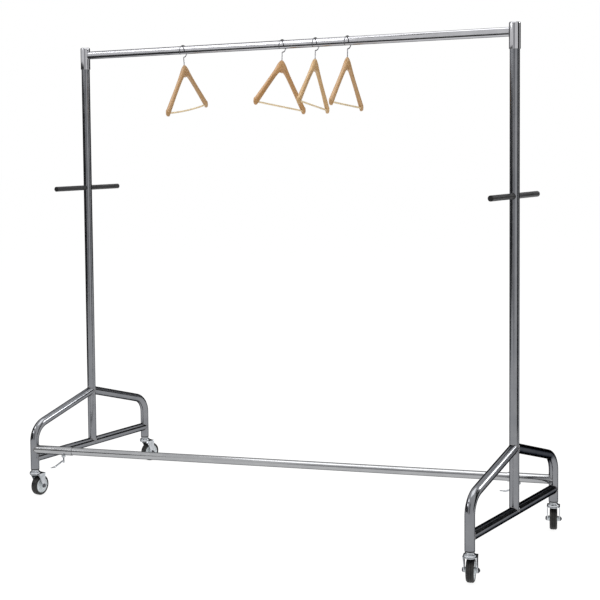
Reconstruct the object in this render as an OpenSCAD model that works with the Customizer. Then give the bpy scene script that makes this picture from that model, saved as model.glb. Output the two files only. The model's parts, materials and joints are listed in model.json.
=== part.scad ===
// Rolling clothes rack: two end frames on swivel casters, a diagonal lower rail that makes a
// Z-shaped base, a chrome hanging rail that lifts off its posts, and four wooden coat hangers.
// Millimetres, +Z up. X runs along the rails, -Y is the front, and the origin is on the floor,
// midway between the two posts.

/* [Overall] */
// Distance between the axes of the two posts
post_spacing = 1820; // [1200:10:2200]
// Height from the floor to the top of the collars
total_height = 1700; // [1300:10:2200]
// Distance between the axes of a frame's front and rear legs
frame_depth = 630; // [500:5:800]

/* [Frame tube] */
// Outside diameter of the posts, legs and crossbars
tube_od = 32; // [25:0.5:42]
// Wall of the posts, legs and crossbars
tube_wall = 1.8; // [1.2:0.1:3]
// Crossbar axis above the lower end of the legs
cross_rise = 41; // [34:1:60]
// Crossbar axis up to where the leg axis turns inwards
bend_rise = 115; // [100:1:160]
// Crossbar axis up to where the sloping tubes meet the post
shoulder_rise = 206; // [180:1:260]
// Centreline radius of the bend in a leg
bend_r = 70; // [50:1:80]

/* [Lower rail] */
// Outside diameter of the diagonal lower rail
low_rail_od = 28; // [20:0.5:36]
// Wall of the lower rail
low_rail_wall = 1.5; // [1:0.1:2.5]
// Wall of the sleeves that the lower rail plugs into
sleeve_wall = 1.6; // [1.2:0.1:3]
// Length of a sleeve from the leg's axis
sleeve_len = 155; // [130:1:220]
// Leg axis to the clamp screw
clamp_reach = 118; // [108:1:120]
// Diameter of the witness hole near the sleeve's mouth
witness_d = 9; // [5:0.5:12]

/* [Clamp screws] */
// Diameter of the bent clamp screw
screw_d = 6; // [5:0.5:8]
// Nut to the underside of the screw's arm
screw_drop = 28; // [20:1:36]
// Length of the screw's arm from its axis
screw_arm = 64; // [50:1:80]
// Direction of each screw's arm, left and right, from +X
screw_turn = [267, 194];

/* [Hanging rail] */
// Height of the flat-sided rail
rail_h = 30; // [25:1:35]
// Width of the flat-sided rail
rail_w = 15; // [12:0.5:20]
// Wall of the hanging rail
rail_wall = 1.5; // [1:0.1:2.5]
// Top of the collars down to the rail's axis
rail_below_top = 30; // [25:1:36]
// Height of a collar
collar_h = 84; // [75:1:110]
// Wall of a collar
collar_wall = 2; // [1.2:0.1:3]

/* [Push bars] */
// Diameter of a push bar
bar_d = 19; // [16:0.5:22]
// Length of a push bar over its caps
bar_len = 350; // [250:5:420]
// Height of the push bars above the floor
bar_z = 1155; // [900:5:1200]

/* [Casters] */
// Wheel diameter
wheel_d = 75; // [60:0.5:100]
// Tyre width
wheel_w = 25; // [20:0.5:30]
// Distance from the swivel axis to the axle
trail = 24; // [18:1:30]
// Axle diameter
axle_d = 8; // [6:0.5:10]
// Thickness of the pressed fork
fork_t = 2.5; // [2:0.1:3.5]
// Diameter of the swivel head
head_d = 40; // [34:0.5:46]
// How far each axle is turned from X: left front, left rear, right front, right rear
caster_turn = [2, -16, 19, 22];

/* [Hangers] */
// Width of a hanger over its tips
hanger_w = 420; // [380:5:450]
// Top of the neck down to the tips
hanger_drop = 172; // [150:1:190]
// Thickness of the wood
hanger_t = 14; // [10:0.5:18]
// Diameter of the hook's wire
hook_wire = 3.4; // [3:0.1:4]
// Inside radius of the hook
hook_r = 20; // [18:0.5:24]
// Diameter of the trouser bar
trouser_d = 6; // [5:0.5:8]
// Position of each hanger along the rail
hanger_x = [-420, 26, 165, 295];
// How far each hanger is swivelled on its hook
hanger_turn = [18, 10, 19, 17];
// How far each hanger leans, rear end down
hanger_lean = [-6, 4, 4, 2];

/* [Hidden] */
$fn = 64;

// Clearances between pieces
weld_gap = 0.2;
slide_gap = 0.3;
running_gap = 0.05;
over = 1;

tube_r = tube_od / 2;
tube_bore_r = tube_r - tube_wall;
post_x = post_spacing / 2;
leg_y = frame_depth / 2;

// Caster, from the floor up
wheel_r = wheel_d / 2;
axle_r = axle_d / 2;
crown_gap = 9;
race_gap = 3;
head_h = 12.5;
head_edge = 7.5;
head_bevel = 3;
flange_t = 4;
crown_z = wheel_d + crown_gap;
head_z = crown_z + fork_t + race_gap;
flange_z = head_z + head_h;
tube_end_z = flange_z + flange_t;
head_r = head_d / 2;
side_gap = 7;
fork_in = wheel_w / 2 + side_gap;
fork_out = fork_in + fork_t;
fork_back = 16;
boss_r = 8;
stem_r = 5.5;
stem_len = 38;
insert_len = 40;
rivet_r = 5;
rivet_head_r = 8;
rivet_head_t = 2.5;
ball_r = 1.2;
ball_count = 8;
ball_ring_r = head_r - 7;
skirt_t = 2;
nut_t = 5;
nut_r = axle_r + 3.5;
thread_end = 1;
tread_t = 9.5;
hub_r = wheel_r - tread_t;
hub_boss_wall = 5;
hub_boss_r = axle_r + hub_boss_wall;
hub_side_gap = 1;
hub_dish = 2.5;
hub_face = wheel_w / 2 - hub_dish;
rim_dish = 1;
rim_face = wheel_w / 2 - rim_dish;
rim_t = 4;
tyre_round = 5;

// End frames
cross_z = tube_end_z + cross_rise;
bend_z = cross_z + bend_rise;
shoulder_z = cross_z + shoulder_rise;
slope = atan((shoulder_z - bend_z) / leg_y);
turn = 90 - slope;
tangent = bend_r * tan(turn / 2);
bend_start_z = bend_z - tangent;
// The straight runs of a leg pass a little way into its bend, just inside the bend's skin
bend_lap = 1;
bend_inset = 0.1;

// Lower rail, from the left front leg to the right rear leg
low_rail_r = low_rail_od / 2;
sleeve_bore_r = low_rail_r + slide_gap;
sleeve_r = sleeve_bore_r + sleeve_wall;
low_z = cross_z + tube_r + sleeve_r + weld_gap;
low_turn = atan(leg_y / post_x);
low_span = norm([post_spacing, frame_depth]);
rail_end_gap = 10;
rail_end = tube_r + rail_end_gap;
witness_edge = 14;
witness_reach = sleeve_len - witness_edge;

// Clamp screws
screw_r = screw_d / 2;
screw_nut_r = screw_r + 4.5;
screw_nut_t = 8;
screw_bend = 7;
nut_z = low_z - sleeve_r - screw_nut_t;
arm_z = nut_z - screw_drop;
tip_len = 12;
tip_w = 9;
tip_t = 3;

// Hanging rail and collars
rail_z = total_height - rail_below_top;
rail_flat = rail_h - rail_w;
rail_seat = 9;
rail_clear = 5;
post_top_z = rail_z - rail_h / 2 - rail_clear;
collar_bore_r = tube_r + slide_gap;
collar_r = collar_bore_r + collar_wall;
collar_z = total_height - collar_h;
dome_h = 5;

// Push bars
bar_r = bar_d / 2;
bar_wall = 1.5;
cap_t = 3;
cap_plug = 15;

// Hangers
hook_wire_r = hook_wire / 2;
hook_mid_r = hook_r + hook_wire_r;
hook_z = rail_z + rail_h / 2 + slide_gap - hook_r;
hook_tail = 25;
stem_drop = 28;
neck_z = -hook_mid_r - stem_drop;
shoulder_s = 32;
// Depth of the wood at the neck, past the shoulder and at the tips
arm_w = [46, 26, 28];
shoulder_share = 0.3;
tip_r = 12;
stem_in_wood = 32;
trouser_inset = 26;
trouser_s = hanger_w / 2 - trouser_inset;
trouser_rise = 13;
arm_steps = 12;
tip_step = 30;

function side_x(side) = side * post_x;
function corner(side, row) = [side * post_x, row * leg_y, 0];
function corner_index(side, row) = (side < 0 ? 0 : 2) + (row < 0 ? 0 : 1);

// ---- End frames ----

module steel() { color([0.36, 0.36, 0.38]) children(); }
module chrome() { color([0.82, 0.83, 0.85]) children(); }
module zinc() { color([0.72, 0.73, 0.75]) children(); }
module black_paint() { color([0.09, 0.09, 0.09]) children(); }
module black_plastic() { color([0.06, 0.06, 0.06]) children(); }
module wood() { color([0.80, 0.60, 0.38]) children(); }

// The run of a leg: up from the caster, round the bend and along the slope to the post's axis
module leg_run(r, extra) {
    run = leg_y / cos(slope) - tangent;
    rotate([90, 0, 90]) {
        translate([0, tube_end_z - extra, 0]) rotate([-90, 0, 0])
            cylinder(r = r - bend_inset, h = bend_start_z - tube_end_z + extra + bend_lap);
        translate([bend_r, bend_start_z, 0]) rotate([0, 0, 180 - turn])
            rotate_extrude(angle = turn) translate([bend_r, 0]) circle(r);
        translate([bend_r * (1 - cos(turn)), bend_start_z + bend_r * sin(turn), 0])
            rotate([0, 0, slope]) translate([-bend_lap, 0, 0]) rotate([0, 90, 0])
                cylinder(r = r - bend_inset, h = run + extra + bend_lap);
    }
}

module leg(side, row) {
    steel() translate([side_x(side), 0, 0]) rotate([0, 0, row < 0 ? 0 : 180]) difference() {
        translate([0, -leg_y, 0]) leg_run(tube_r, 0);
        translate([0, -leg_y, 0]) leg_run(tube_bore_r, over);
        translate([0, 0, cross_z]) cylinder(r = tube_r + weld_gap, h = 2 * shoulder_rise);
    }
}

module post(side) {
    steel() translate([side_x(side), 0, 0]) difference() {
        translate([0, 0, cross_z]) cylinder(r = tube_r, h = post_top_z - cross_z);
        translate([0, 0, cross_z - over])
            cylinder(r = tube_bore_r, h = post_top_z - cross_z + 2 * over);
        rotate([90, 0, 0]) translate([0, cross_z, -tube_od])
            cylinder(r = tube_r + weld_gap, h = 2 * tube_od);
        rotate([90, 0, 0]) translate([0, bar_z, -tube_od])
            cylinder(r = bar_r + weld_gap, h = 2 * tube_od);
    }
}

module crossbar(side) {
    steel() translate([side_x(side), 0, 0]) difference() {
        translate([0, leg_y, cross_z]) rotate([90, 0, 0]) cylinder(r = tube_r, h = frame_depth);
        translate([0, leg_y + over, cross_z]) rotate([90, 0, 0])
            cylinder(r = tube_bore_r, h = frame_depth + 2 * over);
        for (row = [-1, 1]) translate([0, row * leg_y, tube_end_z])
            cylinder(r = tube_r + weld_gap, h = 2 * cross_rise);
    }
}

// ---- Lower rail, its sleeves and its clamp screws ----

// Puts a piece at the left front leg, or turned half round at the right rear leg,
// with +X along the lower rail and z = 0 on the rail's axis
module on_low_rail(side) {
    rotate([0, 0, side < 0 ? 0 : 180]) translate([-post_x, -leg_y, low_z])
        rotate([0, 0, low_turn]) children();
}

module rail_sleeve(side) {
    steel() on_low_rail(side) difference() {
        rotate([0, 90, 0]) cylinder(r = sleeve_r, h = sleeve_len);
        translate([-over, 0, 0]) rotate([0, 90, 0])
            cylinder(r = sleeve_bore_r, h = sleeve_len + 2 * over);
        translate([0, 0, -tube_od]) cylinder(r = tube_r + weld_gap, h = 2 * tube_od);
        translate([clamp_reach, 0, -2 * sleeve_r])
            cylinder(r = screw_r + running_gap, h = 2 * sleeve_r);
        translate([witness_reach, 0, 0]) cylinder(d = witness_d, h = 2 * sleeve_r);
    }
}

module lower_rail() {
    steel() on_low_rail(-1) difference() {
        translate([rail_end, 0, 0]) rotate([0, 90, 0])
            cylinder(r = low_rail_r, h = low_span - 2 * rail_end);
        translate([rail_end - over, 0, 0]) rotate([0, 90, 0])
            cylinder(r = low_rail_r - low_rail_wall, h = low_span - 2 * rail_end + 2 * over);
    }
}

module clamp_nuts() {
    zinc() for (side = [-1, 1]) on_low_rail(side) difference() {
        translate([clamp_reach, 0, nut_z - low_z])
            cylinder(r = screw_nut_r, h = screw_nut_t + 2, $fn = 6);
        rotate([0, 90, 0]) cylinder(r = sleeve_r + weld_gap, h = sleeve_len);
        translate([clamp_reach, 0, nut_z - low_z - over])
            cylinder(r = screw_r + running_gap, h = 2 * screw_nut_t);
    }
}

module clamp_screw(side) {
    shank_top = low_z - low_rail_r - slide_gap;
    arm_turn = screw_turn[side < 0 ? 0 : 1] - low_turn - (side < 0 ? 0 : 180);
    zinc() on_low_rail(side) translate([clamp_reach, 0, -low_z]) rotate([0, 0, arm_turn]) {
        translate([0, 0, arm_z + screw_bend])
            cylinder(r = screw_r, h = shank_top - arm_z - screw_bend);
        translate([screw_bend, 0, arm_z + screw_bend]) rotate([90, 0, 0]) rotate([0, 0, 180])
            rotate_extrude(angle = 90) translate([screw_bend, 0]) circle(screw_r);
        translate([screw_bend, 0, arm_z]) rotate([0, 90, 0])
            cylinder(r = screw_r, h = screw_arm - tip_len - screw_bend);
        translate([screw_arm - tip_len, -tip_w / 2, arm_z - tip_t / 2])
            cube([tip_len, tip_w, tip_t]);
    }
}

// ---- Hanging rail and collars ----

module rail_section(grow) {
    for (up = [-1, 1]) translate([0, up * rail_flat / 2]) circle(d = rail_w + 2 * grow);
    translate([-rail_w / 2 - grow, -rail_flat / 2]) square([rail_w + 2 * grow, rail_flat]);
}

module rail_bar(grow, half_len) {
    translate([-half_len, 0, rail_z]) rotate([90, 0, 90])
        linear_extrude(2 * half_len) rail_section(grow);
}

module hanging_rail() {
    half_len = post_x - rail_seat;
    chrome() difference() {
        rail_bar(0, half_len);
        rail_bar(-rail_wall, half_len + over);
    }
}

module collar(side) {
    chrome() difference() {
        translate([side_x(side), 0, collar_z]) rotate_extrude() difference() {
            union() {
                square([collar_r, collar_h - dome_h]);
                translate([0, collar_h - dome_h]) square([collar_r - dome_h, dome_h]);
                translate([collar_r - dome_h, collar_h - dome_h]) intersection() {
                    circle(dome_h);
                    square(dome_h);
                }
            }
            translate([0, -over]) square([collar_bore_r, collar_h - dome_h + over]);
        }
        rail_bar(weld_gap, post_x - rail_seat + weld_gap);
    }
}

// ---- Push bars ----

module push_bar(side) {
    black_paint() translate([side_x(side), bar_len / 2 - cap_t, bar_z]) rotate([90, 0, 0])
        difference() {
            cylinder(r = bar_r, h = bar_len - 2 * cap_t);
            translate([0, 0, -over]) cylinder(r = bar_r - bar_wall, h = bar_len);
        }
}

module push_bar_caps() {
    black_plastic() for (side = [-1, 1], row = [-1, 1])
        translate([side_x(side), row * (bar_len / 2 - cap_t), bar_z])
            rotate([row < 0 ? 90 : -90, 0, 0]) {
                cylinder(r = bar_r, h = cap_t);
                translate([0, 0, -cap_plug])
                    cylinder(r = bar_r - bar_wall - running_gap, h = cap_plug);
            }
}

// ---- Casters ----

// Puts a piece on the swivel axis of one caster, turned as that caster stands:
// X is then along the axle, and the wheel trails towards +Y
module at_corner(side, row) {
    translate(corner(side, row)) rotate([0, 0, caster_turn[corner_index(side, row)]]) children();
}

// Puts a piece in the middle of the axle, with +Z along the axle
module at_axle(side, row) {
    at_corner(side, row) translate([0, trail, wheel_r]) rotate([0, 90, 0]) children();
}

module leg_insert(side, row) {
    black_plastic() at_corner(side, row) difference() {
        union() {
            translate([0, 0, flange_z]) cylinder(r = tube_r, h = flange_t);
            translate([0, 0, tube_end_z])
                cylinder(r = tube_bore_r - bend_inset - running_gap, h = insert_len);
        }
        translate([0, 0, flange_z - over])
            cylinder(r = stem_r + running_gap, h = insert_len + flange_t + 2 * over);
    }
}

module swivel_head(side, row) {
    zinc() at_corner(side, row) rotate_extrude() polygon([
        [0, crown_z - slide_gap - rivet_head_t],
        [rivet_head_r, crown_z - slide_gap - rivet_head_t],
        [rivet_head_r, crown_z - slide_gap],
        [rivet_r, crown_z - slide_gap],
        [rivet_r, head_z],
        [head_r - skirt_t, head_z],
        [head_r - skirt_t, head_z - race_gap / 2],
        [head_r, head_z - race_gap / 2],
        [head_r, head_z + head_edge],
        [head_r - head_bevel, flange_z],
        [stem_r, flange_z],
        [stem_r, flange_z + stem_len],
        [0, flange_z + stem_len]]);
}

module swivel_balls() {
    zinc() for (side = [-1, 1], row = [-1, 1]) at_corner(side, row)
        for (i = [0 : ball_count - 1]) rotate([0, 0, i * 360 / ball_count])
            translate([ball_ring_r, 0, crown_z + fork_t + race_gap / 2]) sphere(ball_r);
}

module fork(side, row) {
    zinc() at_corner(side, row) difference() {
        union() {
            translate([0, 0, crown_z]) linear_extrude(fork_t) {
                circle(head_r);
                translate([-fork_out, -fork_back / 2]) square([2 * fork_out, trail + fork_back]);
            }
            for (hand = [-1, 1]) translate([hand * (fork_in + fork_t / 2), 0, 0])
                rotate([90, 0, 90]) translate([0, 0, -fork_t / 2]) linear_extrude(fork_t) {
                    polygon([[-fork_back / 2, crown_z + fork_t / 2],
                        [trail + fork_back / 2, crown_z + fork_t / 2],
                        [trail + boss_r, wheel_r], [trail - boss_r, wheel_r]]);
                    translate([trail, wheel_r]) circle(boss_r);
                }
        }
        translate([0, 0, crown_z - over])
            cylinder(r = rivet_r + running_gap, h = fork_t + 2 * over);
        translate([-2 * fork_out, trail, wheel_r]) rotate([0, 90, 0])
            cylinder(r = axle_r + running_gap, h = 4 * fork_out);
    }
}

module axle(side, row) {
    zinc() at_axle(side, row) {
        translate([0, 0, -fork_out - nut_t])
            cylinder(r = axle_r, h = 2 * (fork_out + nut_t) + thread_end);
        translate([0, 0, -fork_out - nut_t]) cylinder(r = nut_r, h = nut_t, $fn = 6);
        translate([0, 0, fork_out]) cylinder(r = nut_r, h = nut_t, $fn = 6);
    }
}

module hub(side, row) {
    color([0.78, 0.79, 0.80]) at_axle(side, row) rotate_extrude() difference() {
        union() {
            translate([0, hub_side_gap - fork_in])
                square([hub_boss_r, 2 * (fork_in - hub_side_gap)]);
            translate([0, -hub_face]) square([hub_r, 2 * hub_face]);
            translate([hub_r - rim_t, -rim_face]) square([rim_t, 2 * rim_face]);
        }
        translate([0, -fork_in]) square([axle_r + running_gap, 2 * fork_in]);
    }
}

module tyre(side, row) {
    flat = wheel_w / 2 - tyre_round;
    color([0.05, 0.05, 0.05]) at_axle(side, row) rotate_extrude() {
        translate([hub_r + running_gap, -wheel_w / 2])
            square([wheel_r - tyre_round - hub_r - running_gap, wheel_w]);
        translate([wheel_r - tyre_round, -flat]) square([tyre_round, 2 * flat]);
        for (up = [-1, 1]) translate([wheel_r - tyre_round, up * flat]) intersection() {
            circle(tyre_round);
            translate([0, -tyre_round]) square([tyre_round, 2 * tyre_round]);
        }
    }
}

// ---- Hangers ----

// Half the outline of a hanger: distance out from the neck, height of the arm's middle
function arm_mid(s) = neck_z - arm_w[0] / 2
    - (hanger_drop - arm_w[0] / 2 - tip_r) * (s < shoulder_s
        ? pow(s / shoulder_s, 2) * shoulder_s / 2
        : s - shoulder_s / 2) / (hanger_w / 2 - tip_r - shoulder_s / 2);
function arm_half(s) = let (t = s / (hanger_w / 2 - tip_r))
    (t < shoulder_share ? arm_w[0] + (arm_w[1] - arm_w[0]) * sin(90 * t / shoulder_share)
        : arm_w[1] + (arm_w[2] - arm_w[1]) * (t - shoulder_share) / (1 - shoulder_share)) / 2;
function arm_point(i, hand, up) = let (s = i / arm_steps * (hanger_w / 2 - tip_r))
    [hand * s, arm_mid(s) + up * arm_half(s)];
function tip_point(a, hand) = let (s = hanger_w / 2 - tip_r)
    [hand * (s + tip_r * cos(a)), arm_mid(s) + arm_half(s) * sin(a)];

// Puts a piece at one hanger's hook, with z = 0 at the middle of the hook's loop;
// a turned piece also swivels on the hook's stem
module at_hook(i, turned) {
    translate([hanger_x[i - 1], 0, hook_z]) rotate([-hanger_lean[i - 1], 0, 0])
        rotate([0, 0, turned ? hanger_turn[i - 1] : 0]) children();
}

module hanger_wood(i) {
    wood() at_hook(i, true) difference() {
        rotate([90, 0, 90]) translate([0, 0, -hanger_t / 2]) linear_extrude(hanger_t) {
            polygon(concat([for (k = [arm_steps : -1 : 0]) arm_point(k, -1, 1)],
                [for (k = [1 : arm_steps]) arm_point(k, 1, 1)],
                [for (a = [90 - tip_step : -tip_step : tip_step - 90]) tip_point(a, 1)],
                [for (k = [arm_steps : -1 : 0]) arm_point(k, 1, -1)],
                [for (k = [1 : arm_steps]) arm_point(k, -1, -1)],
                [for (a = [tip_step - 90 : tip_step : 90 - tip_step]) tip_point(a, -1)]));
        }
        translate([0, 0, neck_z - stem_in_wood])
            cylinder(r = hook_wire_r + running_gap, h = stem_in_wood + over);
        translate([0, trouser_s + trouser_d, arm_mid(trouser_s) - trouser_rise])
            rotate([90, 0, 0])
                cylinder(r = trouser_d / 2 + running_gap, h = 2 * (trouser_s + trouser_d));
    }
}

module hanger_hook(i) {
    chrome() at_hook(i, false) {
        translate([0, 0, neck_z - stem_in_wood + slide_gap])
            cylinder(r = hook_wire_r, h = stem_drop + stem_in_wood - slide_gap);
        rotate([90, 0, 90]) rotate([0, 0, -90])
            rotate_extrude(angle = 270 + hook_tail) translate([hook_mid_r, 0])
                circle(hook_wire_r);
    }
}

module trouser_bar(i) {
    wood() at_hook(i, true)
        translate([0, trouser_s + trouser_d, arm_mid(trouser_s) - trouser_rise])
            rotate([90, 0, 0]) cylinder(d = trouser_d, h = 2 * (trouser_s + trouser_d));
}

post(-1);  // left_post
post(1);  // right_post
leg(-1, -1);  // left_front_leg
leg(-1, 1);  // left_rear_leg
leg(1, -1);  // right_front_leg
leg(1, 1);  // right_rear_leg
crossbar(-1);  // left_crossbar
crossbar(1);  // right_crossbar
rail_sleeve(-1);  // left_rail_sleeve
rail_sleeve(1);  // right_rail_sleeve
lower_rail();
clamp_nuts();
clamp_screw(-1);  // left_clamp_screw
clamp_screw(1);  // right_clamp_screw
hanging_rail();
collar(-1);  // left_collar
collar(1);  // right_collar
push_bar(-1);  // left_push_bar
push_bar(1);  // right_push_bar
push_bar_caps();
swivel_balls();
leg_insert(-1, -1);  // left_front_insert
swivel_head(-1, -1);  // left_front_swivel_head
fork(-1, -1);  // left_front_fork
axle(-1, -1);  // left_front_axle
hub(-1, -1);  // left_front_hub
tyre(-1, -1);  // left_front_tyre
leg_insert(-1, 1);  // left_rear_insert
swivel_head(-1, 1);  // left_rear_swivel_head
fork(-1, 1);  // left_rear_fork
axle(-1, 1);  // left_rear_axle
hub(-1, 1);  // left_rear_hub
tyre(-1, 1);  // left_rear_tyre
leg_insert(1, -1);  // right_front_insert
swivel_head(1, -1);  // right_front_swivel_head
fork(1, -1);  // right_front_fork
axle(1, -1);  // right_front_axle
hub(1, -1);  // right_front_hub
tyre(1, -1);  // right_front_tyre
leg_insert(1, 1);  // right_rear_insert
swivel_head(1, 1);  // right_rear_swivel_head
fork(1, 1);  // right_rear_fork
axle(1, 1);  // right_rear_axle
hub(1, 1);  // right_rear_hub
tyre(1, 1);  // right_rear_tyre
hanger_wood(1);  // hanger_1_wood
hanger_hook(1);  // hanger_1_hook
trouser_bar(1);  // hanger_1_trouser_bar
hanger_wood(2);  // hanger_2_wood
hanger_hook(2);  // hanger_2_hook
trouser_bar(2);  // hanger_2_trouser_bar
hanger_wood(3);  // hanger_3_wood
hanger_hook(3);  // hanger_3_hook
trouser_bar(3);  // hanger_3_trouser_bar
hanger_wood(4);  // hanger_4_wood
hanger_hook(4);  // hanger_4_hook
trouser_bar(4);  // hanger_4_trouser_bar
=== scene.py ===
"""Looks of a rolling clothes rack, modelled around its packed construction model.

Every length is in metres in the model's own frame: X runs along the rails, -Y is the front and Z
is up. Sub-assemblies are classes that build their pieces with modelling operators, dress them in
a finish and let them ride on the moving bodies of the construction model.
"""

import json
import logging
import math
from contextlib import contextmanager
from dataclasses import dataclass, field
from enum import Enum
from typing import Callable, Iterator, Sequence

import bpy
from mathutils import Matrix, Vector


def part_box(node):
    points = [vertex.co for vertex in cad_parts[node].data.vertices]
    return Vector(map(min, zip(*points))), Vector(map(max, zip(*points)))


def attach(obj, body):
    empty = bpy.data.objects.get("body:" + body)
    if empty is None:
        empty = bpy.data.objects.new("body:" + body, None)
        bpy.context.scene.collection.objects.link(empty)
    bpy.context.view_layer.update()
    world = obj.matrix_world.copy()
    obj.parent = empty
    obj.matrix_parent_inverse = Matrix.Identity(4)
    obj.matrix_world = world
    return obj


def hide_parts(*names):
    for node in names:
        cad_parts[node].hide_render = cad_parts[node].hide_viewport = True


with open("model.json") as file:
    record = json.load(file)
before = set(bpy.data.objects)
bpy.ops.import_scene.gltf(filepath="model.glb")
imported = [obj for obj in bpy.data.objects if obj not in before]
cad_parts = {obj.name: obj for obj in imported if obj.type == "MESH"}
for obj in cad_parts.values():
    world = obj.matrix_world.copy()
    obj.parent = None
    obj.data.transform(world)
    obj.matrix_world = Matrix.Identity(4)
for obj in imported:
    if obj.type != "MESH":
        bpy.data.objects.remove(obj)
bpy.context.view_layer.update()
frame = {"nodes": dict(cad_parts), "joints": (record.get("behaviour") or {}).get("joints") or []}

LOG = logging.getLogger("clothes_rack")
Ring = list[Vector]
Piece = bpy.types.Object
Socket = bpy.types.NodeSocket
Colour = tuple[float, float, float]
Corner = tuple[float, float, float]

MM = 0.001
UP = Vector((0, 0, 1))
ALONG = Vector((1, 0, 0))
ACROSS = Vector((0, 1, 0))
WELD_GAP = 0.2 * MM
SMOOTH_ANGLE = math.radians(35)
MERGE_DISTANCE = 1e-6
PLAY = 0.05 * MM
FINE_SIDES = 32
BEAD_SIDES = 10
BEAD_ANGLE = math.radians(80)
WELD_RIPPLE = 0.16
RIPPLE_STEPS = 3


class Side(Enum):
    """The two ends of the rack."""

    LEFT = -1
    RIGHT = 1

    @property
    def word(self) -> str:
        """The side's name as the construction model spells it."""
        return self.name.lower()


class Row(Enum):
    """The two legs of an end frame."""

    FRONT = -1
    REAR = 1

    @property
    def word(self) -> str:
        """The row's name as the construction model spells it."""
        return self.name.lower()


# ---- Modelling with operators ----


def only(*pieces: Piece) -> None:
    """Selects these pieces alone and makes the last one active."""
    bpy.ops.object.select_all(action="DESELECT")
    for piece in pieces:
        piece.select_set(True)
        bpy.context.view_layer.objects.active = piece


@contextmanager
def editing(piece: Piece) -> Iterator[None]:
    """Edit mode on one piece, with all of it selected at the start."""
    only(piece)
    bpy.ops.object.mode_set(mode="EDIT")
    bpy.ops.mesh.select_all(action="SELECT")
    yield
    bpy.ops.object.mode_set(mode="OBJECT")


def close_up(piece: Piece, fill: bool = False) -> None:
    """Merges doubled points, drops loose edges and turns the faces outwards.

    Args:
        piece: The mesh to clean.
        fill: True to cap the open ends first.
    """
    with editing(piece):
        bpy.ops.mesh.remove_doubles(threshold=MERGE_DISTANCE)
        bpy.ops.mesh.delete_loose()
        bpy.ops.mesh.select_all(action="SELECT")
        if fill:
            bpy.ops.mesh.fill_holes(sides=0)
            bpy.ops.mesh.select_all(action="SELECT")
        bpy.ops.mesh.normals_make_consistent(inside=False)


def smooth(piece: Piece, angle: float = SMOOTH_ANGLE) -> Piece:
    """Shades a piece smooth where its faces meet at less than an angle."""
    only(piece)
    bpy.ops.object.shade_smooth_by_angle(angle=angle)
    return piece


def apply_modifier(piece: Piece, kind: str, **values: object) -> Piece:
    """Adds a modifier with these values and applies it to the mesh.

    Args:
        piece: The mesh to change.
        kind: The modifier's type, as Blender names it.
        values: The modifier's own settings.

    Returns:
        The same piece.
    """
    modifier = piece.modifiers.new(kind.lower(), kind)
    for key, value in values.items():
        setattr(modifier, key, value)
    only(piece)
    bpy.ops.object.modifier_apply(modifier=modifier.name)
    return piece


def cut(piece: Piece, *cutters: Piece, operation: str = "DIFFERENCE") -> Piece:
    """Cuts a piece with solid cutters, or joins them to it, and removes the cutters.

    Args:
        piece: The mesh to change.
        cutters: The closed solids that are used up.
        operation: The Boolean modifier's operation.

    Returns:
        The same piece.
    """
    for cutter in cutters:
        apply_modifier(piece, "BOOLEAN", operation=operation, object=cutter, solver="EXACT")
        bpy.data.objects.remove(cutter)
    return piece


def bevelled(piece: Piece, width: float, segments: int = 2, angle: float = 40) -> Piece:
    """Rounds the edges of a piece that are sharper than an angle in degrees."""
    return apply_modifier(piece, "BEVEL", width=width, segments=segments,
                          limit_method="ANGLE", angle_limit=math.radians(angle))


def settled(name: str) -> Piece:
    """The piece just added, named, with its place and size moved into its mesh."""
    piece = bpy.context.active_object
    piece.name = name
    bpy.ops.object.transform_apply(location=True, rotation=True, scale=True)
    return piece


def hexagon(name: str, middle: Vector, radius: float, height: float) -> Piece:
    """A six-sided prism that stands along Z round its middle."""
    bpy.ops.mesh.primitive_cylinder_add(vertices=6, radius=radius, depth=height, location=middle)
    return settled(name)


def rolled(name: str, rings: Sequence[Ring], shut: bool = False, capped: bool = True) -> Piece:
    """Rolls a sheet into a tube that runs through rings of points.

    Args:
        name: The new piece's name.
        rings: The rings, each with as many points as the others.
        shut: True where the last ring goes back to the first, as on a bead.
        capped: True to close both ends.

    Returns:
        The new mesh, with its faces outwards.
    """
    stations = list(rings) + ([rings[0]] if shut else [])
    sides = len(rings[0])
    bpy.ops.mesh.primitive_grid_add(x_subdivisions=len(stations) - 1, y_subdivisions=sides)
    piece = bpy.context.active_object
    piece.name = name
    for index, point in enumerate(piece.data.vertices):
        row, column = divmod(index, len(stations))
        point.co = stations[column][row % sides]
    close_up(piece, fill=capped and not shut)
    return piece


def spun(name: str, profile: Sequence[tuple[float, float]], steps: int = 64) -> Piece:
    """Spins a closed profile round Z.

    Args:
        name: The new piece's name.
        profile: The profile's corners as radius and height, in order round it.
        steps: How many steps a full turn takes.

    Returns:
        The new mesh, with its faces outwards.
    """
    bpy.ops.mesh.primitive_circle_add(vertices=len(profile), radius=1.0)
    piece = bpy.context.active_object
    piece.name = name
    for point, (radius, height) in zip(piece.data.vertices, profile):
        point.co = (radius, 0, height)
    with editing(piece):
        bpy.ops.mesh.spin(steps=steps, angle=math.tau, center=(0, 0, 0), axis=(0, 0, 1))
    close_up(piece)
    return piece


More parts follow.
